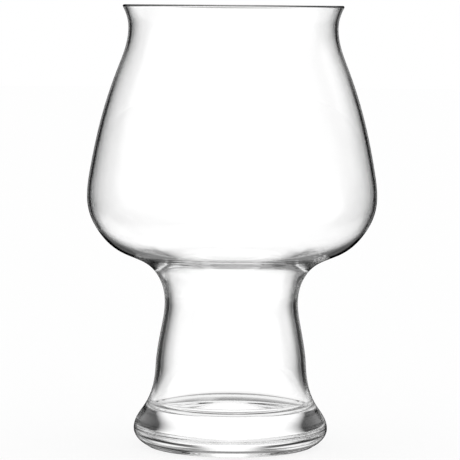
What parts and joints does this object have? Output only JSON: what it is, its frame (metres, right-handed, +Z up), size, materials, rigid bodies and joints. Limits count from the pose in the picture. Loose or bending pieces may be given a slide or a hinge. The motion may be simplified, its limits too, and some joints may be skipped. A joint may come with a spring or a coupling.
{
  "type": "cider glass",
  "caption": "Clear footed cider glass with a flared lip, a round belly, a hollow stem open to the bowl and a thick solid foot.",
  "frame": {"origin": "on the axis, in the plane of the ring that the foot stands on", "axes": "+Z up along the axis of revolution, from the foot to the lip; +X and +Y are equal, because the glass is round"},
  "size_m": [0.096, 0.096, 0.146],
  "materials": {
    "clear_glass": "fire-polished clear glass, smooth and colourless"
  },
  "bodies": {
    "root": {"lip": "clear_glass", "bowl": "clear_glass", "shoulder": "clear_glass", "stem": "clear_glass", "foot": "clear_glass"}
  },
  "joints": []
}
